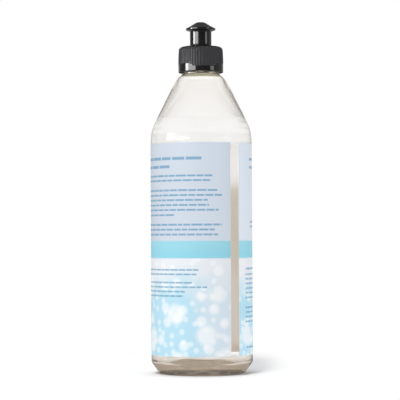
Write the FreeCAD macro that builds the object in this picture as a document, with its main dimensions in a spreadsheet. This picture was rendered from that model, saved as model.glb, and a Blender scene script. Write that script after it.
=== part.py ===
import FreeCAD, Part
import math
import os
import Sketcher

# A clear blown bottle of dish soap with a wrap label and a black push-pull screw cap.
# Origin at the centre of the foot ring, +Z up the bottle, front towards -Y.

doc = FreeCAD.newDocument("DishSoapBottle")

# Driving sizes, in millimetres and degrees
drivingSizes = {
    "body_radius": 33.65,
    "shoulder_height": 161.1,
    "shoulder_rounding": 27.0,
    "cone_height": 37.6,
    "cone_top_reach": 3.6,
    "cone_top_drop": 2.6,
    "cone_top_rounding": 14.0,
    "cone_top_inner_rounding": 7.0,
    "heel_height": 7.7,
    "heel_inset": 5.45,
    "heel_rounding": 4.0,
    "foot_width": 3.2,
    "foot_rounding": 1.2,
    "push_wall_inset": 3.0,
    "push_wall_height": 4.5,
    "push_height": 9.0,
    "push_top_radius": 9.0,
    "push_rounding": 5.0,
    "gate_radius": 2.0,
    "gate_height": 0.6,
    "body_wall": 0.7,
    "cone_top_wall": 2.2,
    "base_wall": 1.0,
    "push_foot_wall": 0.5,
    "foot_wall": 0.25,
    "channel_rounding": 0.6,
    "neck_radius": 12.5,
    "neck_wall": 1.6,
    "neck_height": 15.7,
    "neck_root_rounding": 0.6,
    "mouth_rounding": 0.4,
    "thread_pitch": 4.233,
    "thread_turns": 1.5,
    "thread_depth": 1.15,
    "thread_root_width": 2.4,
    "thread_crest_width": 1.2,
    "thread_drop": 7.8,
    "thread_bite": 0.3,
    "cap_thread_turns": 1.0,
    "cap_thread_depth": 1.2,
    "cap_thread_root_width": 1.9,
    "cap_thread_crest_width": 0.9,
    "thread_play": 0.25,
    "thread_clearance": 0.3,
    "fill_rise": 7.7,
    "fill_clearance": 0.05,
    "label_thickness": 0.12,
    "label_clearance": 0.02,
    "label_top_margin": 9.1,
    "label_bottom_margin": 5.1,
    "label_gap": 12.1,
    "label_gap_turn": 40.15,
    "seal_thickness": 1.1,
    "seal_overlap": 0.5,
    "seal_clearance": 0.05,
    "cap_wall": 1.05,
    "cap_draft": 0.4,
    "cap_draft_height": 8.2,
    "cap_depth": 15.6,
    "cap_crown": 1.5,
    "cap_crown_dome": 0.25,
    "cap_edge_rounding": 2.4,
    "cap_rim_rounding": 0.25,
    "flute_radius": 0.6,
    "flute_depth": 0.35,
    "flute_run": 11.7,
    "flute_wave": 2.1,
    "tower_radius": 5.5,
    "tower_bore_radius": 4.2,
    "collar_radius": 6.2,
    "collar_height": 0.5,
    "bead_height": 1.2,
    "bead_reach": 0.5,
    "bead_ramp": 0.25,
    "bead_lead": 0.5,
    "tower_roof": 1.5,
    "post_radius": 2.1,
    "post_tip_chamfer": 0.3,
    "port_radius": 0.9,
    "spout_clearance": 0.1,
    "spout_seat_gap": 0.2,
    "spout_wall": 1.1,
    "spout_lip_height": 1.0,
    "spout_lip_ramp": 0.5,
    "spout_travel": 6.0,
    "spout_stop_gap": 0.3,
    "spout_barrel_margin": 0.95,
    "spout_roof_rise": 1.6,
    "brim_radius": 9.9,
    "brim_thickness": 1.1,
    "brim_rise": 0.9,
    "hat_height": 4.1,
    "hat_sweep_radius": 7.6,
    "hat_sweep_drop": 2.85,
    "hat_sweep_rounding": 4.0,
    "hat_crown_radius": 3.9,
    "hat_crown_drop": 0.6,
    "hat_crown_rounding": 1.2,
    "hat_top_radius": 2.7,
    "hat_rounding": 0.3,
    "throat_height": 1.6,
}

# Counts: the skirt's flutes follow a wave, and the long ones of a lobe are counted from its middle
fluteLobes = 3
flutesPerLobe = 17
longFlutes = 4.5
waveSpread = 0.75
seamFlute = 11.5
portCount = 4

sheet = doc.addObject("Spreadsheet::Sheet", "Sizes")
for row, (name, value) in enumerate(drivingSizes.items(), start=1):
    sheet.set(f"A{row}", name)
    sheet.set(f"B{row}", str(value))
    sheet.setAlias(f"B{row}", name)
doc.recompute()


def use(formula):
    # Names of the sheet are written bare in a formula and bound to their cells here
    words = []
    for word in formula.split():
        words.append(f"Sizes.{word}" if word in drivingSizes else word)
    return " ".join(words)


# Heights and radii that follow from the driving sizes
neckBase = use("( shoulder_height + cone_height )")
neckTop = use(f"( {neckBase} + neck_height )")
coneTopRadius = use("( neck_radius + cone_top_reach )")
coneTopHeight = use(f"( {neckBase} - cone_top_drop )")
neckBore = use("( neck_radius - neck_wall )")
footRadius = use("( body_radius - heel_inset )")
pushFootRadius = use(f"( {footRadius} - foot_width )")
pushWallRadius = use(f"( {pushFootRadius} - push_wall_inset )")
threadStart = use(f"( {neckTop} - thread_drop )")
capBore = use("( neck_radius + thread_depth + thread_clearance )")
threadWidth = use("( ( thread_root_width + thread_crest_width ) / 2 )")
capThreadWidth = use("( ( cap_thread_root_width + cap_thread_crest_width ) / 2 )")
capThreadStart = use(f"( {threadStart} - thread_play - ( {threadWidth} + {capThreadWidth} ) / 2 )")
capCeiling = use(f"( {neckTop} + seal_thickness + 2 * seal_clearance )")
capBottom = use(f"( {capCeiling} - cap_depth )")
capTop = use(f"( {capCeiling} + cap_crown )")
skirtRadius = use(f"( {capBore} + cap_wall )")
collarTop = use(f"( {capTop} + cap_crown_dome + collar_height )")
spoutBottom = use(f"( {collarTop} + spout_seat_gap )")
lipTop = use(f"( {spoutBottom} + spout_lip_height )")
beadUnderside = use(f"( {lipTop} + spout_travel + spout_stop_gap )")
beadRadius = use("( tower_radius + bead_reach )")
towerTop = use(f"( {beadUnderside} + bead_height )")
spoutBore = use(f"( {beadRadius} + spout_clearance )")
spoutRadius = use(f"( {spoutBore} + spout_wall )")
barrelTop = use(f"( {towerTop} + spout_barrel_margin )")
spoutTop = use(f"( {barrelTop} + brim_rise + brim_thickness + hat_height )")
orificeRadius = use("( post_radius + spout_clearance )")


def newBody(label):
    body = doc.addObject("PartDesign::Body", label)
    body.Label = label
    return body


def newSketch(body, name, role="XZ_Plane"):
    sketch = body.newObject("Sketcher::SketchObject", name)
    plane = next(item for item in body.Origin.OriginFeatures if item.Role == role)
    sketch.AttachmentSupport = [(plane, "")]
    sketch.MapMode = "FlatFace"
    return sketch


def bindPoint(sketch, geometry, end, corner):
    # Ties a point of the sketch to its radius and height from the origin
    for kind, axis, formula in (("DistanceX", -2, corner[0]), ("DistanceY", -1, corner[1])):
        if formula == "0":
            sketch.addConstraint(Sketcher.Constraint("PointOnObject", geometry, end, axis))
            continue
        value = sketch.evalExpression(use(formula))
        index = sketch.addConstraint(Sketcher.Constraint(kind, -1, 1, geometry, end, value))
        sketch.setExpression(f"Constraints[{index}]", use(formula))


def drawOutline(sketch, corners):
    # A closed outline through the corners, each (radius, height) or (radius, height, rounding)
    count = len(corners)
    points = []
    for corner in corners:
        points.append(FreeCAD.Vector(*(sketch.evalExpression(use(part)) for part in corner[:2]), 0))
    entries = list(points)
    exits = list(points)
    arcs = {}
    for index, corner in enumerate(corners):
        if len(corner) < 3:
            continue
        here = points[index]
        back = (points[index - 1] - here).normalize()
        ahead = (points[(index + 1) % count] - here).normalize()
        rounding = sketch.evalExpression(use(corner[2]))
        halfAngle = back.getAngle(ahead) / 2
        entries[index] = here + back * (rounding / math.tan(halfAngle))
        exits[index] = here + ahead * (rounding / math.tan(halfAngle))
        centre = here + (back + ahead).normalize() * (rounding / math.sin(halfAngle))
        leftTurn = back.cross(ahead).z < 0
        first, last = (entries[index], exits[index]) if leftTurn else (exits[index], entries[index])
        angles = [math.atan2(end.y - centre.y, end.x - centre.x) for end in (first, last)]
        circle = Part.Circle(centre, FreeCAD.Vector(0, 0, 1), rounding)
        arc = sketch.addGeometry(Part.ArcOfCircle(circle, *angles), False)
        arcs[index] = (arc, leftTurn)
    lines = []
    for index in range(count):
        ahead = (index + 1) % count
        lines.append(sketch.addGeometry(Part.LineSegment(exits[index], entries[ahead]), False))
    for index, corner in enumerate(corners):
        before = lines[index - 1]
        after = lines[index]
        if index not in arcs:
            sketch.addConstraint(Sketcher.Constraint("Coincident", before, 2, after, 1))
            bindPoint(sketch, after, 1, corner)
            continue
        arc, leftTurn = arcs[index]
        arcStart, arcEnd = (1, 2) if leftTurn else (2, 1)
        peak = sketch.addGeometry(Part.Point(points[index]), True)
        sketch.addConstraint(Sketcher.Constraint("Tangent", before, 2, arc, arcStart))
        sketch.addConstraint(Sketcher.Constraint("Tangent", arc, arcEnd, after, 1))
        sketch.addConstraint(Sketcher.Constraint("PointOnObject", peak, 1, before))
        sketch.addConstraint(Sketcher.Constraint("PointOnObject", peak, 1, after))
        bindPoint(sketch, peak, 1, corner)
        rounding = sketch.evalExpression(use(corner[2]))
        radius = sketch.addConstraint(Sketcher.Constraint("Radius", arc, rounding))
        sketch.setExpression(f"Constraints[{radius}]", use(corner[2]))


def turned(body, kind, name, corners):
    # A full turn of an outline about the bottle's axis, kind Revolution or Groove
    profile = newSketch(body, f"{name}Profile")
    drawOutline(profile, corners)
    feature = body.newObject(f"PartDesign::{kind}", name)
    feature.Profile = profile
    feature.ReferenceAxis = (profile, ["V_Axis"])
    feature.Angle = 360
    doc.recompute()
    return feature


def threadRidge(body, name, corners, turns):
    # A right-hand ridge that climbs one pitch a turn from its outline in the XZ plane
    profile = newSketch(body, f"{name}Profile")
    drawOutline(profile, corners)
    ridge = body.newObject("PartDesign::AdditiveHelix", name)
    ridge.Profile = profile
    ridge.ReferenceAxis = (profile, ["V_Axis"])
    ridge.Mode = "pitch-turns-angle"
    ridge.setExpression("Pitch", use("thread_pitch"))
    ridge.setExpression("Turns", use(turns))
    doc.recompute()
    return ridge


def drawCircle(sketch, radius, reach, turn):
    # A circle at a reach from the axis, turned round it from the front by a number of degrees
    heading = f"( {turn} ) * 1 deg"
    across = f"( {reach} ) * sin( {heading} )"
    forward = f"- ( {reach} ) * cos( {heading} )"
    value = sketch.evalExpression(use(radius))
    centre = FreeCAD.Vector(sketch.evalExpression(use(across)), sketch.evalExpression(use(forward)), 0)
    circle = sketch.addGeometry(Part.Circle(centre, FreeCAD.Vector(0, 0, 1), value), False)
    for kind, formula, start in (("DistanceX", across, centre.x), ("DistanceY", forward, centre.y)):
        index = sketch.addConstraint(Sketcher.Constraint(kind, -1, 1, circle, 3, start))
        sketch.setExpression(f"Constraints[{index}]", use(formula))
    index = sketch.addConstraint(Sketcher.Constraint("Radius", circle, value))
    sketch.setExpression(f"Constraints[{index}]", use(radius))


def cutUpward(body, sketch, name, start, depth):
    # A pocket that starts at a height and runs up the axis
    sketch.setExpression("AttachmentOffset.Base.z", use(start))
    pocket = body.newObject("PartDesign::Pocket", name)
    pocket.Profile = sketch
    pocket.Reversed = True
    pocket.setExpression("Length", use(depth))
    doc.recompute()
    return pocket


def polar(body, feature, count):
    # Copies of a feature spaced evenly round the bottle's axis
    pattern = body.newObject("PartDesign::PolarPattern", f"{feature.Name}Ring")
    pattern.Originals = [feature]
    pattern.Axis = (feature.Profile[0], ["N_Axis"])
    pattern.Angle = 360
    pattern.Occurrences = count
    body.Tip = pattern
    doc.recompute()
    return pattern


# Clear bottle: blown shell with a pushed-up base, a cone shoulder and a threaded neck
bottle = newBody("bottle")
turned(bottle, "Revolution", "BottleForm", [
    ("0", "push_height - gate_height"),
    ("gate_radius", "push_height - gate_height"),
    ("gate_radius", "push_height"),
    ("push_top_radius", "push_height", "push_rounding"),
    (pushWallRadius, "push_wall_height", "push_rounding"),
    (pushFootRadius, "0", "foot_rounding"),
    (footRadius, "0", "foot_rounding"),
    ("body_radius", "heel_height", "heel_rounding"),
    ("body_radius", "shoulder_height", "shoulder_rounding"),
    (coneTopRadius, coneTopHeight, "cone_top_rounding"),
    ("neck_radius", neckBase, "neck_root_rounding"),
    ("neck_radius", neckTop, "mouth_rounding"),
    ("0", neckTop),
])


def cavityOutline(clearance, top):
    # The space inside the shell, drawn in from its walls by a clearance
    return [
        ("0", f"push_height + base_wall + {clearance}"),
        ("push_top_radius", f"push_height + base_wall + {clearance}", "push_rounding"),
        (f"{pushWallRadius} + base_wall + {clearance}", f"push_wall_height + base_wall + {clearance}",
         "push_rounding"),
        (f"{pushFootRadius} + push_foot_wall + {clearance}", f"base_wall + {clearance}",
         "channel_rounding"),
        (f"{footRadius} - foot_wall - {clearance}", f"base_wall + {clearance}", "foot_rounding"),
        (f"body_radius - body_wall - {clearance}", "heel_height", "heel_rounding"),
        (f"body_radius - body_wall - {clearance}", "shoulder_height", "shoulder_rounding"),
        (f"{coneTopRadius} - cone_top_wall - {clearance}", coneTopHeight, "cone_top_inner_rounding"),
        (f"{neckBore} - {clearance}", neckBase, "neck_root_rounding"),
        (f"{neckBore} - {clearance}", top),
        ("0", top),
    ]


solidForm = bottle.Tip.Shape.Volume
turned(bottle, "Groove", "Cavity", cavityOutline("0", neckTop))
if not bottle.Tip.Shape.Volume < solidForm:
    raise RuntimeError("the bottle's cavity cuts nothing")
threadRidge(bottle, "NeckThread", [
    ("neck_radius - thread_bite", f"{threadStart} - thread_root_width / 2"),
    ("neck_radius + thread_depth", f"{threadStart} - thread_crest_width / 2"),
    ("neck_radius + thread_depth", f"{threadStart} + thread_crest_width / 2"),
    ("neck_radius - thread_bite", f"{threadStart} + thread_root_width / 2"),
], "thread_turns")

# Dish soap: fills the cavity to a level a little way up the cone
soap = newBody("dish_soap")
turned(soap, "Revolution", "SoapForm", cavityOutline("fill_clearance", neckTop))
turned(soap, "Groove", "AirOverLevel", [
    ("0", "shoulder_height + fill_rise"),
    ("body_radius", "shoulder_height + fill_rise"),
    ("body_radius", f"{neckTop} + seal_thickness"),
    ("0", f"{neckTop} + seal_thickness"),
])

# Wrap label: one film round the straight wall, its two ends a gap apart
label = newBody("wrap_label")
film = turned(label, "Revolution", "Film", [
    ("body_radius + label_clearance", "heel_height + label_bottom_margin"),
    ("body_radius + label_clearance + label_thickness", "heel_height + label_bottom_margin"),
    ("body_radius + label_clearance + label_thickness", "shoulder_height - label_top_margin"),
    ("body_radius + label_clearance", "shoulder_height - label_top_margin"),
])
film.setExpression("Angle", use("360 - label_gap"))
label.setExpression("Placement.Rotation.Angle", use("label_gap_turn + label_gap / 2 - 90"))

# Sealing ring: a foam washer between the neck's land and the cap's ceiling
seal = newBody("sealing_ring")
turned(seal, "Revolution", "Washer", [
    (f"{neckBore} - seal_overlap", f"{neckTop} + seal_clearance"),
    ("neck_radius + seal_overlap", f"{neckTop} + seal_clearance"),
    ("neck_radius + seal_overlap", f"{neckTop} + seal_clearance + seal_thickness"),
    (f"{neckBore} - seal_overlap", f"{neckTop} + seal_clearance + seal_thickness"),
])

# Screw cap: fluted skirt, crown, and the tower with the post that plugs the spout
cap = newBody("screw_cap")
turned(cap, "Revolution", "CapForm", [
    ("0", capBottom),
    (skirtRadius, capBottom, "cap_rim_rounding"),
    (skirtRadius, f"{capTop} - cap_draft_height"),
    (f"{skirtRadius} - cap_draft", capTop, "cap_edge_rounding"),
    ("collar_radius", f"{capTop} + cap_crown_dome", "cap_rim_rounding"),
    ("collar_radius", collarTop),
    ("tower_radius", collarTop),
    ("tower_radius", beadUnderside),
    (beadRadius, f"{beadUnderside} + bead_ramp"),
    (beadRadius, f"{towerTop} - bead_lead"),
    ("tower_radius", towerTop),
    ("post_radius", towerTop),
    ("post_radius", f"{spoutTop} - post_tip_chamfer"),
    ("post_radius - post_tip_chamfer", spoutTop),
    ("0", spoutTop),
])
# Flutes of the skirt: their lower ends follow a wave with one long lobe in each third.
# The front lobe is turned so that the +X side lies between two flutes.
fluteReach = f"( {skirtRadius} + flute_radius - flute_depth )"
fluteStep = 360 / (fluteLobes * flutesPerLobe)
lobeTurn = 90 - seamFlute * fluteStep
for place in range(flutesPerLobe // 2 + 1):
    dip = (1 + math.tanh((longFlutes - place) / waveSpread)) / 2
    sketch = newSketch(cap, f"FluteCircles{place}", "XY_Plane")
    for side in (-1, 1) if place else (1,):
        drawCircle(sketch, "flute_radius", fluteReach, f"{lobeTurn + side * place * fluteStep}")
    run = f"( flute_run + flute_wave * {dip:.4f} )"
    flute = cutUpward(cap, sketch, f"Flute{place}", f"{capTop} - {run}", f"{run} + cap_crown_dome")
    polar(cap, flute, fluteLobes)

# The hollow under the cap and up its tower, its thread and the ports of the tower's roof
solidForm = cap.Tip.Shape.Volume
turned(cap, "Groove", "CapHollow", [
    ("0", capBottom),
    (capBore, capBottom),
    (capBore, capCeiling),
    ("tower_bore_radius", capCeiling),
    ("tower_bore_radius", f"{towerTop} - tower_roof"),
    ("0", f"{towerTop} - tower_roof"),
])
if not cap.Tip.Shape.Volume < solidForm:
    raise RuntimeError("the cap's hollow cuts nothing")
threadRidge(cap, "CapThread", [
    (f"{capBore} + thread_bite", f"{capThreadStart} - cap_thread_root_width / 2"),
    (f"{capBore} + thread_bite", f"{capThreadStart} + cap_thread_root_width / 2"),
    (f"{capBore} - cap_thread_depth", f"{capThreadStart} + cap_thread_crest_width / 2"),
    (f"{capBore} - cap_thread_depth", f"{capThreadStart} - cap_thread_crest_width / 2"),
], "cap_thread_turns")
ports = newSketch(cap, "PortCircles", "XY_Plane")
drawCircle(ports, "port_radius", "( post_radius + tower_bore_radius ) / 2", "0")
portCut = cutUpward(cap, ports, "Port", f"{towerTop} - tower_roof", "tower_roof")
polar(cap, portCut, portCount)

# Push-pull spout: a sleeve with an inner lip under the tower's bead and a flared hat
spout = newBody("push_pull_spout")
turned(spout, "Revolution", "SpoutForm", [
    ("tower_radius + spout_clearance", spoutBottom),
    (spoutRadius, spoutBottom),
    (spoutRadius, barrelTop, "hat_rounding"),
    ("brim_radius", f"{barrelTop} + brim_rise", "hat_rounding"),
    ("brim_radius", f"{barrelTop} + brim_rise + brim_thickness", "hat_rounding"),
    ("hat_sweep_radius", f"{spoutTop} - hat_sweep_drop", "hat_sweep_rounding"),
    ("hat_crown_radius", f"{spoutTop} - hat_crown_drop", "hat_crown_rounding"),
    ("hat_top_radius", spoutTop, "hat_rounding"),
    (orificeRadius, spoutTop),
    (orificeRadius, f"{spoutTop} - throat_height"),
    (spoutBore, f"{towerTop} + spout_roof_rise"),
    (spoutBore, f"{lipTop} + spout_lip_ramp"),
    ("tower_radius + spout_clearance", lipTop),
])

# Every feature computed, every piece one sound solid
for item in doc.Objects:
    if "Invalid" in item.State or "Error" in item.State:
        raise RuntimeError(f"{item.Label} failed: {item.State}")
os.makedirs("parts", exist_ok=True)
for piece in (bottle, soap, label, seal, cap, spout):
    if piece.Shape.isNull() or not piece.Shape.isValid() or len(piece.Shape.Solids) != 1:
        raise RuntimeError(f"{piece.Label} is not one sound solid")
    piece.Shape.exportStep(f"parts/{piece.Label}.step")
    box = piece.Shape.BoundBox
    print(f"{piece.Label}: {piece.Shape.Volume / 1000:.2f} cm3, z {box.ZMin:.2f} to {box.ZMax:.2f}")
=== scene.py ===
import math

import bmesh
import bpy
import numpy as np
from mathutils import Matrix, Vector, noise


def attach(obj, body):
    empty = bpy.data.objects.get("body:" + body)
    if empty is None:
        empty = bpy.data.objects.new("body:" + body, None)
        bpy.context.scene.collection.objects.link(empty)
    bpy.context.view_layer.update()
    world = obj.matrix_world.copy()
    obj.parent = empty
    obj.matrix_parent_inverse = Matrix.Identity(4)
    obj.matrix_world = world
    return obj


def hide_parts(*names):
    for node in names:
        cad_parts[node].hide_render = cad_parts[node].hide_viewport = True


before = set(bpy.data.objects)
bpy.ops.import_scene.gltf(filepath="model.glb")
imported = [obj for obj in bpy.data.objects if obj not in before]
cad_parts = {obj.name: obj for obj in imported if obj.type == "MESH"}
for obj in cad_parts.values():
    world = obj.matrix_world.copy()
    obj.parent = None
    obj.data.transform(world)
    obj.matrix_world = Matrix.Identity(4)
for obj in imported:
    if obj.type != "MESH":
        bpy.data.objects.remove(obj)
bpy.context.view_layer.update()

mm = 0.001


# Shader sums

def plug(socket, value):
    if isinstance(value, Wire):
        socket.id_data.links.new(value.socket, socket)
    elif isinstance(value, tuple) and len(value) == 3 and socket.type == "RGBA":
        socket.default_value = (*value, 1.0)
    else:
        socket.default_value = value


class Wire:  # a socket of a node tree; sums on it add Math nodes
    def __init__(self, socket):
        self.socket = socket

    def math(self, operation, *values):
        node = self.socket.id_data.nodes.new("ShaderNodeMath")
        node.operation = operation
        for place, value in zip(node.inputs, values):
            plug(place, value)
        return Wire(node.outputs[0])

    def __add__(self, other):
        return self.math("ADD", self, other)

    def __radd__(self, other):
        return self.math("ADD", other, self)

    def __sub__(self, other):
        return self.math("SUBTRACT", self, other)

    def __rsub__(self, other):
        return self.math("SUBTRACT", other, self)

    def __mul__(self, other):
        return self.math("MULTIPLY", self, other)

    def __rmul__(self, other):
        return self.math("MULTIPLY", other, self)

    def __truediv__(self, other):
        return self.math("DIVIDE", self, other)

    def __gt__(self, other):
        return self.math("GREATER_THAN", self, other)

    def __lt__(self, other):
        return self.math("LESS_THAN", self, other)

    def most(self, other):
        return self.math("MAXIMUM", self, other)

    def size(self):
        return self.math("ABSOLUTE", self)

    def floor(self):
        return self.math("FLOOR", self)

    def fraction(self):
        return self.math("FRACT", self)


class Look:  # a node tree being written
    def __init__(self, tree):
        self.tree = tree
        tree.nodes.clear()

    def node(self, kind, settings=None, values=None, out=0):
        made = self.tree.nodes.new("ShaderNode" + kind)
        for name, value in (settings or {}).items():
            if name == "stops":
                while len(made.color_ramp.elements) < len(value):
                    made.color_ramp.elements.new(1.0)
                for stop, (place, colour) in zip(made.color_ramp.elements, value):
                    stop.position = place
                    stop.color = (*colour, 1.0)
            else:
                setattr(made, name, value)
        for name, value in (values or {}).items():
            plug(made.inputs[name], value)
        return Wire(made.outputs[out])

    def mix(self, factor, first, second):
        return self.node("Mix", {"data_type": "RGBA"}, {0: factor, 6: first, 7: second}, 2)

    def smooth(self, value, low, high):  # 0 below low, 1 above high
        return self.node("MapRange", {"interpolation_type": "SMOOTHSTEP"},
                         {"Value": value, "From Min": low, "From Max": high})

    def place(self):
        return self.node("TexCoord", out="Object")

    def parts(self, vector):
        return [Wire(end) for end in self.node("SeparateXYZ", {}, {0: vector}).socket.node.outputs]

    def length(self, vector):
        return self.node("VectorMath", {"operation": "LENGTH"}, {0: vector}, 1)

    def flatVector(self, first, second):
        return self.node("CombineXYZ", {}, {0: first, 1: second, 2: 0.0})

    def speckle(self, where, scale, detail=3.0, rough=0.55):
        return self.node("TexNoise", {}, {
            "Vector": where, "Scale": scale, "Detail": detail, "Roughness": rough})

    def bump(self, height, reach, strength=1.0):
        return self.node("Bump", {}, {"Height": height, "Distance": reach, "Strength": strength})

    def finish(self, surface, volume=None):
        output = self.tree.nodes.new("ShaderNodeOutputMaterial")
        plug(output.inputs["Surface"], surface)
        if volume:
            plug(output.inputs["Volume"], volume)


def newMaterial(name):
    material = bpy.data.materials.new(name)
    material.use_nodes = True
    return material, Look(material.node_tree)


def ink(*screen):  # a screen colour as the shader's own
    shares = [c / 255 for c in screen]
    return tuple(share / 12.92 if share <= 0.04 else ((share + 0.055) / 1.055) ** 2.4 for share in shares)


def grey(level):
    return (level,) * 3


white = grey(1.0)


# Turned meshes

def rounded(corners, finest=8.0):
    run = []
    for i, corner in enumerate(corners):
        here = np.array(corner[:2], float)
        size = corner[2] if len(corner) > 2 else 0
        if not size:
            run.append(here)
            continue
        back = np.array(corners[i - 1][:2], float) - here
        ahead = np.array(corners[(i + 1) % len(corners)][:2], float) - here
        back /= np.linalg.norm(back)
        ahead /= np.linalg.norm(ahead)
        opening = math.acos(float(np.clip(back @ ahead, -1, 1)))
        middle = (back + ahead) / np.linalg.norm(back + ahead)
        centre = here + middle * size / math.sin(opening / 2)
        reach = size / math.tan(opening / 2)
        first, last = (here + way * reach - centre for way in (back, ahead))
        start = math.atan2(first[1], first[0])
        turn = (math.atan2(last[1], last[0]) - start + math.pi) % (2 * math.pi) - math.pi
        parts = max(3, round(abs(math.degrees(turn)) / finest))
        for k in range(parts + 1):
            angle = start + turn * k / parts
            run.append(centre + size * np.array((math.cos(angle), math.sin(angle))))
    return run


def spaced(run, step, low=-1e9, high=1e9):  # cuts what lies between two heights into short lengths
    out = [run[0]]
    for before, after in zip(run, run[1:]):
        rise = after[1] - before[1]
        shares = [0.0, 1.0]
        if abs(rise) > 1e-6:
            ends = ((level - before[1]) / rise for level in (low, high))
            shares += [share for share in ends if 0.001 < share < 0.999]
        shares.sort()
        for start, end in zip(shares, shares[1:]):
            middle = before[1] + rise * (start + end) / 2
            length = float(np.linalg.norm(after - before)) * (end - start)
            cuts = max(1, math.ceil(length / step - 1e-6)) if low <= middle <= high else 1
            for k in range(1, cuts + 1):
                out.append(before + (after - before) * (start + (end - start) * k / cuts))
    return out


def turnedMesh(rows, steps, shape=None, first=0.0, sweep=360.0):
    # rows of (radius, height) in mm turned about the axis; angles run from -Y towards +X
    rows = np.array(rows, float)
    whole = sweep >= 360.0
    angles = np.radians(first + sweep * np.arange(steps) / (steps if whole else steps - 1))
    radius = np.repeat(rows[:, :1], steps, 1)
    height = np.repeat(rows[:, 1:], steps, 1)
    if shape:
        radius, height = shape(radius, height, np.repeat(angles[None, :], len(rows), 0))
    verts, index = [], []
    for i, row in enumerate(rows):
        if row[0] < 1e-6:
            index.append([len(verts)] * steps)
            verts.append((0.0, 0.0, height[i, 0] * mm))
        else:
            index.append(list(range(len(verts), len(verts) + steps)))
            across, ahead = radius[i] * np.sin(angles), -radius[i] * np.cos(angles)
            verts.extend(zip(across * mm, ahead * mm, height[i] * mm))
    return verts, index


def skin(index, wrap=True, faces=None):
    faces = [] if faces is None else faces
    for lower, upper in zip(index, index[1:]):
        count = len(lower)
        for j in range(count if wrap else count - 1):
            k = (j + 1) % count
            ring = [lower[j], lower[k], upper[k], upper[j]]
            ring = [v for n, v in enumerate(ring) if v != ring[n - 1]]
            if len(ring) > 2:
                faces.append(ring)
    return faces


def newPiece(name, verts, faces, sharp=32.0):
    mesh = bpy.data.meshes.new(name)
    mesh.from_pydata([tuple(map(float, v)) for v in verts], [], faces)
    made = bmesh.new()
    made.from_mesh(mesh)
    bmesh.ops.recalc_face_normals(made, faces=made.faces)
    made.to_mesh(mesh)
    made.free()
    mesh.polygons.foreach_set("use_smooth", [True] * len(mesh.polygons))
    mesh.set_sharp_from_angle(angle=math.radians(sharp))
    piece = bpy.data.objects.new(name, mesh)
    bpy.context.scene.collection.objects.link(piece)
    return piece


def dress(piece, material, body, node):
    piece.data.materials.append(material)
    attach(piece, body)
    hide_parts(node)
    print("made", piece.name, len(piece.data.polygons), "faces")


def ridge(height, angle, thread):
    # how far the screw thread stands off the wall, 0 to 1
    turn = (np.degrees(angle) - 90.0) % 360.0 / 360.0
    lift = np.zeros_like(height)
    for lap in range(-1, 3):
        along = turn + lap
        middle = thread["start"] + thread["pitch"] * along
        off = np.abs(height - middle)
        crest = np.clip((thread["root"] / 2 - off) / (thread["root"] / 2 - thread["crest"] / 2), 0, 1)
        ends = np.clip(np.minimum(along, thread["turns"] - along) / thread["fade"], 0, 1)
        lift = np.maximum(lift, crest * ends)
    return lift


# The camera and the light

view = {"back": 1.17, "height": 0.0914, "tilt": 91.16, "roll": 0.27, "pan": 0.052,
        "lens": 158.0, "film": 36.0}
# light crosses many clear walls here
bounces = {"max": 40, "transmission": 40, "glossy": 16, "diffuse": 10}

cameraData = bpy.data.cameras.new("camera")
cameraData.lens = view["lens"]
cameraData.sensor_width = view["film"]
camera = bpy.data.objects.new("camera", cameraData)
camera.location = (0.0, -view["back"], view["height"])
camera.rotation_euler = tuple(math.radians(view[k]) for k in ("tilt", "roll", "pan"))
bpy.context.scene.collection.objects.link(camera)
bpy.context.scene.camera = camera
bpy.context.scene.view_settings.view_transform = "Standard"
for kind, count in bounces.items():
    setattr(bpy.context.scene.cycles, kind + "_bounces", count)

studio = {
    # plain light from the camera's side and from behind, and the height of the change between them
    "front": 0.40, "back": 0.90, "turn": (-0.6, 0.8),
    # the pale backdrop as it shows through clear pieces, a little darker high up
    "backdrop": 1.18, "backdropHigh": 0.90, "backdropFade": (0.13, 0.25),
    # what polished pieces see round them: degrees from the camera's side, negative to the left, and level
    "surround": [(-180, 0.9), (-164, 0.55), (-146, 0.38), (-132, 0.14), (-86, 0.10), (-81, 13.5),
                 (-69, 13.5), (-66, 5.8), (-29, 5.4), (-25, 0.10), (48, 0.06), (53, 2.0), (69, 2.0),
                 (73, 0.10), (80, 0.12), (87, 0.26), (138, 0.20), (150, 0.26), (166, 0.5), (180, 0.9)],
    "surroundFrom": (0.074, 0.084), "surroundTo": (0.13, 0.22),
    "ceiling": 0.13, "ceilingFrom": (0.26, 0.42),
    "low": [(-180, 0.9), (-164, 0.6), (-146, 0.45), (-132, 0.2), (-86, 0.2), (-60, 0.35), (-25, 0.2),
            (48, 0.12), (138, 0.24), (150, 0.3), (166, 0.5), (180, 0.9)],
    # what is mirrored inside clear walls
    "walls": [(-180, 1.3), (-160, 1.05), (-150, 0.74), (-138, 0.34), (-120, 0.22), (0, 0.25), (120, 0.16),
              (138, 0.24), (150, 0.50), (160, 0.85), (180, 1.3)], "wallTint": (1.0, 0.95, 0.88),
}

world = bpy.data.worlds.new("studio")
bpy.context.scene.world = world
world.use_nodes = True
sky = Look(world.node_tree)
dx, dy, dz = sky.parts(sky.node("TexCoord", out="Generated"))
bearing = dx.math("ARCTAN2", dx, dy * -1.0) / (2 * math.pi) + 0.5


def allRound(levels, tint=white):
    stops = [((turn + 180) / 360, tuple(level * c for c in tint)) for turn, level in levels]
    return sky.node("ValToRGB", {"stops": stops}, {"Fac": bearing})


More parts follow.
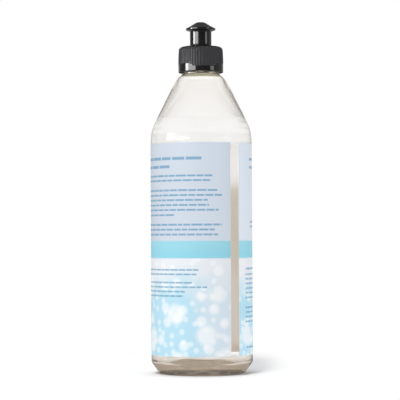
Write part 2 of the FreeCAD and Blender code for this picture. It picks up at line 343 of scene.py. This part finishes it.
rays = sky.node("LightPath").socket.node.outputs
through = Wire(rays["Is Transmission Ray"])
glossy = Wire(rays["Is Glossy Ray"])
mirrored = Wire(rays["Glossy Depth"]) > 0.5  # met a polished side on its way
middle = sky.smooth(dz, *studio["surroundFrom"]) * (1.0 - sky.smooth(dz, *studio["surroundTo"]))
polished = sky.mix(middle, allRound(studio["low"]), allRound(studio["surround"]))
polished = sky.mix(sky.smooth(dz, *studio["ceilingFrom"]), polished, grey(studio["ceiling"]))
soft = sky.mix(sky.smooth(dy, *studio["turn"]), grey(studio["front"]), grey(studio["back"]))
paperWall = sky.mix(sky.smooth(dz, *studio["backdropFade"]),
                    grey(studio["backdrop"]), grey(studio["backdropHigh"]))
clear = sky.mix(mirrored, paperWall, allRound(studio["walls"], studio["wallTint"]))
behind = sky.mix(through, sky.mix(glossy, soft, polished), clear)
shown = sky.mix(Wire(rays["Is Camera Ray"]), behind, white)
background = sky.node("Background", {}, {"Color": shown, "Strength": 1.0})
skyOut = sky.tree.nodes.new("ShaderNodeOutputWorld")
plug(skyOut.inputs["Surface"], background)

lamps = {
    "softbox_left": {"at": (-1.0, -0.55, 0.45), "to": (0, 0, 0.11), "size": (0.6, 0.8), "power": 1.15},
    "softbox_right": {"at": (1.0, -0.05, 0.25), "to": (0, 0, 0.13), "size": (0.3, 0.4), "power": 1.5},
    "softbox_key": {"at": (-0.30, -0.65, 1.02), "to": (0, 0, 0.05), "size": (0.36, 0.36), "power": 9.2},
}
for name, lamp in lamps.items():
    data = bpy.data.lights.new(name, "AREA")
    data.shape = "RECTANGLE"
    data.size, data.size_y = lamp["size"]
    data.energy = lamp["power"]
    light = bpy.data.objects.new(name, data)
    light.location = lamp["at"]
    light.rotation_euler = (Vector(lamp["to"]) - Vector(lamp["at"])).to_track_quat("-Z", "Y").to_euler()
    light.visible_glossy = light.visible_transmission = light.visible_camera = False
    bpy.context.scene.collection.objects.link(light)

floorForm = {
    "reach": 3000.0, "rings": 24, "steps": 96, "tone": 0.86, "grain": 900.0, "own": 0.10,
    # distances from the axis, in metres, over which the paper and the shadow to the right turn white
    "fade": (0.15, 0.25), "shadowFade": (0.034, 0.064),
    "blank": 0.6, "blankSeen": 1.0, "blankThroughGlass": 1.28,
    # painted warm glow on the floor under the thick foot, standing in for the light the foot gathers
    "foot": (0.030, 0.040), "footGlow": 0.27, "footPaintedTint": (1.0, 0.88, 0.76), "throughGlass": 0.05,
    "reflected": 0.26,
}
floorShares = [k / floorForm["rings"] for k in range(floorForm["rings"] + 1)]
floorRun = [(floorForm["reach"] * share ** 2, 0) for share in floorShares]
floorVerts, floorIndex = turnedMesh(floorRun, floorForm["steps"])
floor = newPiece("floor", floorVerts, skin(floorIndex))
floorMaterial, look = newMaterial("paper floor")
where = look.place()
rays = look.node("LightPath").socket.node.outputs
seen = Wire(rays["Is Camera Ray"])
within = Wire(rays["Is Transmission Ray"])
reflected = Wire(rays["Is Glossy Ray"]) * (1.0 - within)
grain = look.speckle(where, floorForm["grain"])
paper = look.node("BsdfPrincipled", {}, {
    "Base Color": look.mix(grain, grey(floorForm["tone"]), grey(floorForm["tone"] * 0.985)),
    "Roughness": 0.9, "Specular IOR Level": 0.1})
away = look.length(where)
right = look.parts(where)[0]
far = look.smooth(away, *floorForm["fade"])
far = far + (1.0 - far) * seen * look.smooth(right, *floorForm["shadowFade"])
# painted glow: the floor under the foot glows warm, seen only through the glass
under = 1.0 - look.smooth(away, *floorForm["foot"])
below = under * floorForm["footGlow"] + floorForm["throughGlass"]
glow = look.node("Emission", {}, {
    "Color": look.mix(under, white, floorForm["footPaintedTint"]),
    "Strength": seen * floorForm["own"] + within * below})
sheet = look.node("AddShader", {}, {0: paper, 1: glow})
plain = (seen * (floorForm["blankSeen"] - floorForm["blank"])
         + within * (floorForm["blankThroughGlass"] - floorForm["blank"]) + floorForm["blank"])
blank = look.node("Emission", {}, {"Color": white, "Strength": plain})
spread = look.node("MixShader", {}, {0: far, 1: sheet, 2: blank})
# painted shade: in reflections the floor shows only as an even dim grey, darker than its lit paper
dimmed = look.node("Emission", {}, {"Color": white, "Strength": floorForm["reflected"]})
look.finish(look.node("MixShader", {}, {0: reflected, 1: spread, 2: dimmed}))
floor.data.materials.append(floorMaterial)
print("camera, lamps and floor in place")


# Bottle

bottleForm = {
    "outer": [(0, 8.4), (2, 8.4, 0.25), (2, 9, 0.25), (9, 9, 5), (22, 4.5, 5), (25, 0, 1.2),
              (28.2, 0, 1.2), (33.65, 7.7, 4), (33.65, 161.1, 27), (16.1, 196.1, 14), (12.5, 198.7, 0.6),
              (12.5, 214.4, 0.4)],
    "inner": [(10.9, 214.4, 0.4), (10.9, 198.7, 0.6), (13.9, 196.1, 7), (32.95, 161.1, 27),
              (32.95, 7.7, 4), (27.95, 1, 1.2), (25.5, 1, 0.6), (23, 5.5, 5), (9, 10, 5), (0, 10)],
    # longest row, and the short rows of the thread and of the shoulder: length, from, to
    "row": 5.0, "shortRows": [(0.3, 204.0, 213.95), (1.2, 150.0, 170.0)],
    "steps": 288, "neck": (12.4, 12.6), "neckFrom": 200,
}
wallForm = {
    # slight waves of the blown wall, and the thick, uneven plastic round the foot
    "wave": 0.05, "waveLength": 26.0, "waveRadius": 33, "waveFrom": 8.0, "waveTo": 196.0, "calm": 12.0,
    "footWave": 0.7, "footTop": 12.0, "footFade": 5.0,
    "footTurns": 2.6, "footRise": 0.16, "footShift": 4.0,
}
# the mould's seam, on two opposite sides
seamForm = {"stands": 0.05, "at": 40, "narrow": 0.9996, "low": (9, 12), "high": (153, 197), "radius": 20}
neckThread = {"start": 206.6, "pitch": 4.233, "turns": 1.5, "root": 2.4, "crest": 1.2, "fade": 0.03,
              "stands": 1.15}


def between(values, ends):
    return (values > ends[0]) & (values < ends[1])


def wallWobble(height, angle):
    out = np.zeros_like(height)
    length, radius, turns = (wallForm[k] for k in ("waveLength", "waveRadius", "footTurns"))
    for (i, j), z in np.ndenumerate(height):
        across, ahead = math.sin(angle[i, j]), math.cos(angle[i, j])
        if z < wallForm["footTop"]:
            firm = min(1.0, (wallForm["footTop"] - z) / wallForm["footFade"])
            rise = z * wallForm["footRise"] + wallForm["footShift"]
            spot = Vector((across * turns, ahead * turns, rise))
            out[i, j] = firm * wallForm["footWave"] * noise.noise(spot)
        if wallForm["waveFrom"] < z < wallForm["waveTo"]:
            calm = min(1.0, min(z - wallForm["waveFrom"], wallForm["waveTo"] - z) / wallForm["calm"])
            spot = Vector((across * radius / length, ahead * radius / length, z / length))
            out[i, j] += wallForm["wave"] * noise.noise(spot) * calm
    return out


outerRun = spaced(rounded(bottleForm["outer"]), bottleForm["row"])
for step, low, high in bottleForm["shortRows"]:
    outerRun = spaced(outerRun, step, low, high)
innerRun = spaced(rounded(bottleForm["inner"]), bottleForm["row"])
outerCount = len(outerRun)


def bottleShape(radius, height, angle):
    outer = np.arange(len(radius))[:, None] < outerCount
    lift = ridge(height, angle, neckThread) * neckThread["stands"]
    neck = outer & between(radius, bottleForm["neck"]) & (height > bottleForm["neckFrom"])
    radius = np.where(neck, radius + lift, radius)
    inner = (~outer) & (radius > 1)
    radius = np.where(inner, radius + wallWobble(height, angle), radius)
    mould = outer & (np.cos(2 * angle - math.radians(seamForm["at"])) > seamForm["narrow"])
    mould &= between(height, seamForm["low"]) | between(height, seamForm["high"])
    mould &= radius > seamForm["radius"]
    return np.where(mould, radius + seamForm["stands"], radius), height


bottleVerts, bottleIndex = turnedMesh(outerRun + innerRun, bottleForm["steps"], bottleShape)
bottle = newPiece("clear_bottle", bottleVerts, skin(bottleIndex))

shellLook = {
    # painted shade: the clear wall is darkened and warmed at the neck under the cap and round the thick
    # foot
    "neckShadeTint": (0.74, 0.72, 0.63), "neck": (195.4, 197.4),
    "footPaintedTint": (0.85, 0.81, 0.765), "foot": (8.0, 14.5),
    # the shoulder is a little less clear
    "shoulderFrom": (148.0, 152.0), "shoulderTo": (162.0, 170.0), "shoulderHaze": 0.05,
    "gloss": 0.012, "scuffs": 0.03, "absorbed": (0.40, 0.28, 0.08), "density": 50.0,
}
clearPlastic, look = newMaterial("clear plastic")
where = look.place()
scuff = look.speckle(where, 180.0, 4.0)
fine = look.speckle(where, 2600.0, 2.0)
up = look.parts(where)[2] * 1000.0
# painted shade at the neck under the cap and round the foot
paintedShadeTint = look.mix(look.smooth(up, *shellLook["neck"]), white, shellLook["neckShadeTint"])
paintedShadeTint = look.mix(1.0 - look.smooth(up, *shellLook["foot"]), paintedShadeTint, shellLook["footPaintedTint"])
hazy = look.smooth(up, *shellLook["shoulderFrom"]) * (1.0 - look.smooth(up, *shellLook["shoulderTo"]))
rough = shellLook["gloss"] + shellLook["scuffs"] * look.smooth(scuff, 0.45, 0.75)
surface = look.node("BsdfPrincipled", {}, {
    "Base Color": paintedShadeTint, "Roughness": rough + shellLook["shoulderHaze"] * hazy,
    "IOR": 1.57, "Transmission Weight": 1.0,
    "Normal": look.bump(fine, 0.000004, 0.3)})
haze = look.node("VolumeAbsorption", {}, {
    "Color": shellLook["absorbed"], "Density": shellLook["density"]})
look.finish(surface, haze)
dress(bottle, clearPlastic, "bottle_body", "bottle")


# Soap

soapForm = {
    # the level, how far the liquid climbs at its edge and over what distance, and its depth in the wall
    "top": 168.8, "climb": 0.15, "climbFade": 0.8, "overlap": 0.03, "lastRow": 0.8,
    "inward": (0.25, 0.6, 1.1, 1.8, 2.8, 4.5, 8, 14, 22),
}
cavity = innerRun[::-1]
levelRow = soapForm["top"] - soapForm["lastRow"]
wall = [p for p in cavity if p[1] < levelRow]
joined = next(p for p in cavity if p[1] >= levelRow and p[0] > 5)
topShare = (soapForm["top"] + soapForm["climb"] - wall[-1][1]) / (joined[1] - wall[-1][1])
whole = wall + [wall[-1] + (joined - wall[-1]) * topShare]
soapRun = []
for i, p in enumerate(whole):
    before, after = whole[max(i - 1, 0)], whole[min(i + 1, len(whole) - 1)]
    way = (after - before) / np.linalg.norm(after - before)
    out = np.array((way[1], -way[0])) if p[0] > 1e-6 else np.array((0.0, -1.0))
    soapRun.append(p + out * soapForm["overlap"])
rim = soapRun[-1]
for back in soapForm["inward"]:
    rise = soapForm["climb"] * math.exp(-back / soapForm["climbFade"])
    soapRun.append(np.array((rim[0] - back, soapForm["top"] + rise)))
soapRun.append(np.array((0.0, soapForm["top"])))


def soapShape(radius, height, angle):
    touching = np.arange(len(radius))[:, None] < len(whole)
    return np.where(touching & (radius > 1), radius + wallWobble(height, angle), radius), height


soapVerts, soapIndex = turnedMesh(soapRun, bottleForm["steps"], soapShape)
soap = newPiece("liquid_soap", soapVerts, skin(soapIndex), sharp=50.0)
soapMaterial, look = newMaterial("clear soap")
where = look.place()
swirl = look.speckle(where, 30.0, 2.0)
surface = look.node("BsdfPrincipled", {}, {
    "Base Color": look.mix(swirl, white, (0.995, 0.992, 0.985)),
    "Roughness": 0.0, "IOR": 1.36, "Transmission Weight": 1.0})
tint = look.node("VolumeAbsorption", {}, {"Color": (0.525, 0.54, 0.565), "Density": 4.0})
look.finish(surface, tint)
dress(soap, soapMaterial, "bottle_body", "dish_soap")


# Label

labelForm = {"inside": 33.67, "outside": 33.77, "bottom": 12.8, "top": 152.0, "from": 46.2, "to": 394.1,
             "columns": 300, "rows": 24}
print("label from", labelForm["from"], "to", labelForm["to"], "degrees")
heights = np.linspace(labelForm["bottom"], labelForm["top"], labelForm["rows"] + 1)
labelRows = [(labelForm["outside"], z) for z in heights]
labelRows += [(labelForm["inside"], z) for z in heights[::-1]]
labelVerts, labelIndex = turnedMesh(labelRows, labelForm["columns"], None, labelForm["from"],
                                    labelForm["to"] - labelForm["from"])
labelFaces = skin(labelIndex + labelIndex[:1], wrap=False)
for column in (0, labelForm["columns"] - 1):
    rows = [row[column] for row in labelIndex]
    labelFaces += [[rows[i], rows[i + 1], rows[-2 - i], rows[-1 - i]] for i in range(labelForm["rows"])]
label = newPiece("wrap_label_film", labelVerts, labelFaces, sharp=40.0)

labelInk = {
    # the upper ground's two lighter inks are painted light, for the right-hand side where more light
    # falls
    "upper": ink(207, 216, 227), "upperPaintedLight": ink(213, 223, 235), "upperPaintedRightLight": ink(222, 231, 243),
    "band": ink(150, 216, 234), "bandTop": ink(160, 219, 234), "paleTop": ink(234, 238, 243),
    "skyBlue": ink(184, 224, 240), "skyPale": ink(216, 230, 241), "foam": ink(248, 250, 252),
    "print": ink(54, 146, 188), "field": ink(246, 249, 252), "inside": ink(232, 222, 208),
    # painted glow colours for the film's inner side
    "glowFoot": (0.42, 0.345, 0.27), "glowLow": (0.58, 0.525, 0.455),
    "glowMiddle": (0.61, 0.56, 0.48), "glowHigh": (0.94, 0.93, 0.93),
}
# where one colour turns into the next: heights in mm, or degrees round the bottle
blends = {
    "upper": (-60.0, 30.0), "right": (40.0, 46.0), "paling": (5.0, 55.0), "lower": (62.0, 96.0),
    "suds": (16.0, 74.0), "band": (78.0, 87.5), "bandBottom": (76.2, 77.1), "bandTop": (87.5, 88.4),
    "footGlow": (13.0, 21.0), "middleGlow": (50.0, 90.0), "highGlow": (119.0, 132.0),
    "paintedSideGlow": (42.0, 50.0),
}
suds = {
    # spacing, shift of the pattern and strength of each size
    "sizes": [(24.0, 0.0, 0.7), (13.0, 31.0, 0.62), (7.0, 57.0, 0.5)],
    "low": 0.6, "kept": (0.32, 0.44), "edge": (0.16, 0.36),
}
# how the film is printed, and the strength of a painted glow on its side against the light; its middle is
# a radius in metres
filmLook = {"middle": 0.03372, "clouds": 0.035, "skyDrift": 60.0, "paleDrift": 40.0,
            "print": 0.66, "wordGap": 0.06, "rowShift": 7.3, "paintedSideGlow": 0.16}
# bare fields on the front: plate and bar by height, half width, half height and corner, and the
# circles on the plate by distance aside, height and radius
front = {
    "at": -135, "plate": (122.0, 22.0, 24.0, 7.0), "plateInside": (122.0, 21.2, 23.2, 6.4), "rim": 0.55,
    "bar": (60.0, 18.0, 5.0, 5.0), "barStrength": 0.75,
    "circle": 0.55, "shine": 0.8, "shineAside": 0.3, "shineSize": 0.32, "soft": 0.12,
    "circles": [(0.0, 126.0, 9.5), (-9.0, 114.5, 5.0), (8.5, 112.5, 3.4), (11.5, 134.0, 2.4),
                (-12.0, 135.5, 3.0)],
}
# blocks of plain bars where the small print was: first row's height, rows, pitch, bar, then degrees
printFields = ("top", "rows", "pitch", "bar", "from", "to", "ragged", "word", "seed")
printBlocks = [dict(zip(printFields, block)) for block in (
    (144.3, 1, 5.3, 1.89, -89, 1, 0, 9.0, 3.1),
    (139.0, 1, 5.3, 1.89, -89, -38, 0, 9.0, 2.2),
    (131.9, 2, 3.05, 1.23, -89, 13, 14, 6.0, 7.7),
    (122.5, 5, 3.2, 1.23, -89, 24, 17, 6.0, 1.3),
    (106.4, 1, 3.2, 1.23, -89, -31, 0, 6.0, 6.3),
    (100.1, 3, 3.2, 1.23, -89, 24, 11, 6.0, 5.9),
    (70.6, 2, 2.9, 1.07, -89, 2, 8, 5.0, 9.2),
    (62.3, 4, 2.9, 1.07, -89, 6, 40, 5.0, 4.4),
    (144.3, 2, 5.3, 1.64, 69, 104, 14, 7.0, 6.1),
    (101.8, 2, 3.05, 1.07, 71, 104, 10, 5.0, 2.7),
    (71.2, 1, 3.3, 1.48, 58, 96, 0, 6.0, 8.1),
    (67.4, 6, 3.05, 1.07, 58, 106, 10, 5.0, 8.8),
    (45.7, 4, 3.08, 1.15, 58, 104, 14, 5.0, 0.6),
    (19.6, 1, 3.0, 1.07, 60, 88, 0, 5.0, 3.9),
)]

labelMaterial, look = newMaterial("printed film")
where = look.place()
x, y, up = look.parts(where)
high = up * 1000.0
degrees = x.math("ARCTAN2", x, y * -1.0) * (180 / math.pi)
along = degrees * (labelForm["outside"] * math.pi / 180)
flat = look.flatVector(along, high)
clouding = look.speckle(flat, filmLook["clouds"], 2.0)
rightSide = look.smooth(degrees, *blends["right"])
# painted light: the upper ground turns lighter towards the right, and lighter still on the right-hand
# panel
upper = look.mix(look.smooth(degrees, *blends["upper"]), labelInk["upper"], labelInk["upperPaintedLight"])
upper = look.mix(rightSide, upper, labelInk["upperPaintedRightLight"])
paling = look.smooth(degrees + clouding * filmLook["skyDrift"], *blends["paling"]) * (1.0 - rightSide)
blue = look.mix(paling, labelInk["skyBlue"], labelInk["skyPale"])
lower = look.smooth(high + clouding * filmLook["paleDrift"], *blends["lower"])
lower = look.mix(lower, blue, labelInk["paleTop"])
settle = 1.0 - look.smooth(high, *blends["suds"])  # the suds lie close low down, with few higher up
for size, shift, strength in suds["sizes"]:
    moved = look.node("VectorMath", {"operation": "ADD"}, {0: flat, 1: (shift, shift * 2, 0.0)})
    cell = look.node("TexVoronoi", {"voronoi_dimensions": "2D", "feature": "SMOOTH_F1"}, {
        "Vector": moved, "Scale": 1 / size, "Smoothness": 0.3, "Randomness": 0.8})
    chance = look.node("SeparateColor", {}, {"Color": Wire(cell.socket.node.outputs["Color"])})
    kept = 1.0 - look.smooth(chance - settle * suds["low"], *suds["kept"])
    disc = (1.0 - look.smooth(cell, *suds["edge"])) * kept
    lower = look.mix(disc * strength, lower, labelInk["foam"])
bandInk = look.mix(look.smooth(high, *blends["band"]), labelInk["band"], labelInk["bandTop"])
ground = look.mix(look.smooth(high, *blends["bandBottom"]), lower, bandInk)
ground = look.mix(look.smooth(high, *blends["bandTop"]), ground, upper)


def field(middle, level, halfWide, halfHigh, corner):  # 1 inside a rounded rectangle on the unrolled film
    aside = ((along - middle).size() - (halfWide - corner)).most(0.0)
    above = ((high - level).size() - (halfHigh - corner)).most(0.0)
    reach = aside.math("SQRT", aside * aside + above * above)
    return 1.0 - look.smooth(reach, corner - front["soft"], corner + front["soft"])


frontAt = front["at"] * labelForm["outside"] * math.pi / 180
plate = field(frontAt, *front["plate"])
plateRim = plate - field(frontAt, *front["plateInside"])
ground = look.mix(plate, ground, labelInk["field"])
ground = look.mix(plateRim.most(0.0) * front["rim"], ground, labelInk["print"])
for aside, height, size in front["circles"]:
    disc = field(frontAt + aside, height, size, size, size)
    ground = look.mix(disc * front["circle"], ground, labelInk["skyBlue"])
    off, small = size * front["shineAside"], size * front["shineSize"]
    shine = field(frontAt + aside - off, height + off, small, small, small)
    ground = look.mix(shine * front["shine"], ground, labelInk["foam"])
ground = look.mix(field(frontAt, *front["bar"]) * front["barStrength"], ground, labelInk["field"])

marks = None
for block in printBlocks:
    row = (block["top"] - high) / block["pitch"]
    number = row.floor()
    inRows = (row > 0.0) * (row < float(block["rows"]))
    bar = ((row.fraction() - 0.5).size()) < (block["bar"] / block["pitch"] / 2)
    chance = look.node("TexWhiteNoise", {"noise_dimensions": "1D"}, {"W": number + block["seed"]})
    end = block["to"] - chance * block["ragged"]
    inside = (degrees > float(block["from"])) * (degrees < end)
    run = along / block["word"] + number * filmLook["rowShift"] + block["seed"]
    words = look.node("TexVoronoi", {"voronoi_dimensions": "1D", "feature": "DISTANCE_TO_EDGE"}, {
        "W": run, "Scale": 1.0, "Randomness": 0.8})
    mask = inRows * bar * inside * (words > filmLook["wordGap"])
    marks = mask if marks is None else marks.most(mask)
ground = look.mix(marks * filmLook["print"], ground, labelInk["print"])
outside = look.length(look.flatVector(x, y)) > filmLook["middle"]
colour = look.mix(outside, labelInk["inside"], ground)
# painted glow on the film's inner side, standing in for daylight that soaks through the film and down
# from the clear shoulder
paintedBacklight = look.mix(look.smooth(high, *blends["footGlow"]), labelInk["glowFoot"], labelInk["glowLow"])
paintedBacklight = look.mix(look.smooth(high, *blends["middleGlow"]), paintedBacklight, labelInk["glowMiddle"])
paintedBacklight = look.mix(look.smooth(high, *blends["highGlow"]), paintedBacklight, labelInk["glowHigh"])
# and a painted glow on the printed side that stands against the light, standing in for light through the
# film
paintedSideGlow = look.mix(look.smooth(degrees, *blends["paintedSideGlow"]) * filmLook["paintedSideGlow"], grey(0.0), ground)
pulp = look.speckle(where, 1500.0, 3.0)
film = look.node("BsdfPrincipled", {}, {
    "Base Color": colour,
    "Roughness": 0.58 - marks * 0.08 + (pulp - 0.5) * 0.06,
    "IOR": 1.48, "Specular IOR Level": 0.35,
    "Emission Color": look.mix(outside, paintedBacklight, paintedSideGlow), "Emission Strength": 1.0,
    "Normal": look.bump(pulp, 0.00001, 0.35)})
look.finish(film)
dress(label, labelMaterial, "bottle_body", "wrap_label")


# Foam ring in the cap

foamMaterial, look = newMaterial("white foam")
where = look.place()
pores = look.node("TexVoronoi", {}, {"Vector": where, "Scale": 3200.0})
surface = look.node("BsdfPrincipled", {}, {
    "Base Color": look.mix(look.smooth(pores, 0.1, 0.5), ink(205, 203, 198), ink(238, 237, 232)),
    "Roughness": 0.85, "Normal": look.bump(pores, 0.00006, 0.6)})
look.finish(surface)
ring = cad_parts["sealing_ring"]
ring.data.materials.clear()
ring.data.materials.append(foamMaterial)


# Screw cap

capForm = {
    "outer": [(0, 233.6), (1.8, 233.6, 0.15), (2.1, 233.3, 0.15), (2.1, 226.55)],
    "tower": [(5.5, 226.55, 0.12), (6.0, 226.05, 0.15), (6.0, 225.6, 0.12), (5.5, 225.35), (5.5, 217.85),
              (6.2, 217.85), (6.2, 217.35, 0.25), (14.6, 217.1, 2.4), (15, 208.9), (15, 200, 0.25)],
    "inner": [(13.95, 200, 0.2), (13.95, 215.6, 0.3), (4.2, 215.6), (4.2, 225.05)],
    "perFlute": 10, "flutes": 51, "ribDepth": 0.22, "ribTop": 216.3, "lobes": 3, "lobeMiddle": 8.82,
    "topOfFlutes": 217.1, "short": 11.7, "longer": 2.1, "longCount": 4.5, "spread": 0.75,
    "fluteStart": 0.35, "fluteFade": 1.3, "skirt": (200.5, 217.4), "skirtRadius": 14.2,
    "boreRadius": 13.9, "boreFrom": 201,
    # short rows of the skirt and of the bore: length, from, to
    "skirtRows": [(0.6, 200.2, 202.9), (0.24, 202.9, 206.0), (1.2, 205.9, 217.4)],
    "boreRow": (0.34, 203.6, 211.0),
    "portRadius": 0.9, "portAt": 3.15, "ports": 4, "portSides": 24,
    "roofTop": 226.55, "roofUnder": 225.05,
}
capThread = {"start": 204.75, "pitch": 4.233, "turns": 1.0, "root": 1.9, "crest": 0.9, "fade": 0.03,
             "stands": 1.2}


def fluted(radius, height, angle):
    spacing = 2 * math.pi / capForm["flutes"]
    count = (angle - math.radians(capForm["lobeMiddle"])) / spacing
    nearest = np.round(count)
    hollow = 0.5 + 0.5 * np.cos(2 * math.pi * (count - nearest))
    perLobe = capForm["flutes"] / capForm["lobes"]
    place = np.abs((nearest + perLobe / 2) % perLobe - perLobe / 2)
    dip = (1 + np.tanh((capForm["longCount"] - place) / capForm["spread"])) / 2
    lower = capForm["topOfFlutes"] - (capForm["short"] + capForm["longer"] * dip)
    start = np.clip((height - lower) / capForm["fluteStart"], 0, 1)
    fade = np.clip((capForm["ribTop"] - height) / capForm["fluteFade"], 0, 1)
    return radius - capForm["ribDepth"] * hollow * start * (3 - 2 * start) * start * fade * (2 - fade)


def skirtShape(radius, height, angle):
    outside = (radius > capForm["skirtRadius"]) & between(height, capForm["skirt"])
    return np.where(outside, fluted(radius, height, angle), radius), height


def boreShape(radius, height, angle):
    lift = ridge(height, angle, capThread) * capThread["stands"]
    threaded = (radius > capForm["boreRadius"]) & (height > capForm["boreFrom"])
    return np.where(threaded, radius - lift, radius), height


capSteps = capForm["perFlute"] * capForm["flutes"]
towerRun = rounded([capForm["outer"][-1]] + capForm["tower"] + [capForm["inner"][0]])[1:-1]
for step, low, high in capForm["skirtRows"]:
    towerRun = spaced(towerRun, step, low, high)
boreRun = spaced(rounded([capForm["tower"][-1]] + capForm["inner"])[1:], *capForm["boreRow"])
postVerts, postIndex = turnedMesh(rounded(capForm["outer"]), capSteps)
towerVerts, towerIndex = turnedMesh(towerRun, capSteps, skirtShape)
boreVerts, boreIndex = turnedMesh(boreRun, capSteps, boreShape)


def shifted(index, by):
    return [[v + by for v in row] for row in index]


capVerts = postVerts + towerVerts + boreVerts
towerIndex = shifted(towerIndex, len(postVerts))
boreIndex = shifted(boreIndex, len(postVerts) + len(towerVerts))
capFaces = skin(postIndex)
skin(towerIndex + boreIndex, faces=capFaces)
ports = {"top": [], "under": []}
for n in range(capForm["ports"]):
    turn = 2 * math.pi * n / capForm["ports"]
    middle = np.array((math.cos(turn), math.sin(turn))) * capForm["portAt"]
    rings = []
    for name, level in (("top", capForm["roofTop"]), ("under", capForm["roofUnder"])):
        start = len(capVerts)
        for k in range(capForm["portSides"]):
            a = 2 * math.pi * k / capForm["portSides"]
            spot = middle + np.array((math.cos(a), math.sin(a))) * capForm["portRadius"]
            capVerts.append((spot[0] * mm, spot[1] * mm, level * mm))
        rings.append(list(range(start, len(capVerts))))
        ports[name].append(rings[-1])
    skin(rings, faces=capFaces)


def planarFill(loops, verts):
    made = bmesh.new()
    back = {}
    edges = []
    for loop in loops:
        own = []
        for v in loop:
            point = made.verts.new(verts[v])
            back[point] = v
            own.append(point)
        edges += [made.edges.new((own[i - 1], own[i])) for i in range(len(own))]
    bmesh.ops.triangle_fill(made, edges=edges, use_beauty=True, use_dissolve=False)
    faces = [[back[v] for v in face.verts] for face in made.faces]
    made.free()
    return faces


capFaces += planarFill([postIndex[-1], towerIndex[0]] + ports["top"], capVerts)
capFaces += planarFill([boreIndex[-1]] + ports["under"], capVerts)
cap = newPiece("ribbed_cap", capVerts, capFaces, sharp=30.0)

plasticLook = {
    "rubbed": 1.35, "rubbedRough": 0.05, "grainRough": 0.10,
    # the grip's lighter tone is partly its duller satin finish and partly painted sheen
    "satinSheenTone": (0.055, 0.056, 0.06), "satinShare": 0.6, "satinRough": 0.23, "satinCoat": 0.92,
    "satinTop": (215.9, 216.6), "satinEdge": (0.1, 0.5), "satinWave": 7.0, "satinRadius": 0.0142,
    "satinGrain": 0.22,
}


def gripSatin(look, where):  # 1 on the grip, which is duller than the rest, down to its waved edge
    x, y, z = look.parts(where)
    up = z * 1000.0
    degrees = x.math("ARCTAN2", x, y * -1.0) * (180 / math.pi)
    lobe = 360 / capForm["lobes"]
    aside = ((((degrees - capForm["lobeMiddle"]) / lobe + 10.5).fraction() - 0.5) * lobe).size()
    edge = capForm["longCount"] * 360 / capForm["flutes"]
    dip = 1.0 - look.smooth(aside, edge - plasticLook["satinWave"], edge + plasticLook["satinWave"])
    lower = (capForm["topOfFlutes"] - capForm["short"]) - dip * capForm["longer"]
    wide = look.length(look.flatVector(x, y)) > plasticLook["satinRadius"]
    above = look.smooth(up - lower, *plasticLook["satinEdge"])
    return above * (1.0 - look.smooth(up, *plasticLook["satinTop"])) * wide


def blackPlastic(name, tone, rough, grainScale, grain, ribs=False):
    material, look = newMaterial(name)
    where = look.place()
    satin = gripSatin(look, where) if ribs else 0.0
    fine = look.speckle(where, grainScale, 4.0, 0.6)
    cloudy = look.speckle(where, 220.0, 3.0)
    rubbed = look.smooth(cloudy, 0.5, 0.8)
    colour = look.mix(rubbed, tone, tuple(c * plasticLook["rubbed"] for c in tone))
    # the grip is lighter: partly its satin finish, partly painted sheen for the light its ribs reflect
    colour = look.mix(satin * plasticLook["satinShare"], colour, plasticLook["satinSheenTone"])
    dull = rough + (fine - 0.5) * plasticLook["grainRough"] + rubbed * plasticLook["rubbedRough"]
    surface = look.node("BsdfPrincipled", {}, {
        "Base Color": colour, "Roughness": dull + satin * plasticLook["satinRough"],
        "IOR": 1.5, "Coat Weight": 1.0 - satin * plasticLook["satinCoat"], "Coat Roughness": 0.05,
        "Normal": look.bump(fine, 0.00002, satin * plasticLook["satinGrain"] + grain)})
    look.finish(surface)
    return material


capBlack = blackPlastic("black cap plastic", ink(20, 19, 21), rough=0.15, grainScale=2200.0, grain=0.12,
                        ribs=True)
dress(cap, capBlack, "cap_body", "screw_cap")


# Spout

spoutForm = {
    "outline": [(5.6, 218.05, 0.15), (7.2, 218.05, 0.2), (7.2, 227.5, 0.3), (9.9, 228.4, 0.3),
                (9.9, 229.5, 0.3), (7.6, 230.75, 4), (3.9, 233.0, 1.2), (2.7, 233.6, 0.3),
                (2.2, 233.6, 0.15), (2.2, 232.0, 0.15), (6.1, 228.15, 0.3), (6.1, 219.55, 0.15),
                (5.6, 219.05, 0.15)],
    "row": 1.2, "steps": 224,
}
spoutRun = spaced(rounded(spoutForm["outline"]), spoutForm["row"])
spoutVerts, spoutIndex = turnedMesh(spoutRun, spoutForm["steps"])
spout = newPiece("push_pull_tip", spoutVerts, skin(spoutIndex + spoutIndex[:1]), sharp=30.0)
spoutBlack = blackPlastic("black spout plastic", ink(17, 17, 19), rough=0.16, grainScale=1800.0,
                          grain=0.35)
dress(spout, spoutBlack, "spout_body", "push_pull_spout")
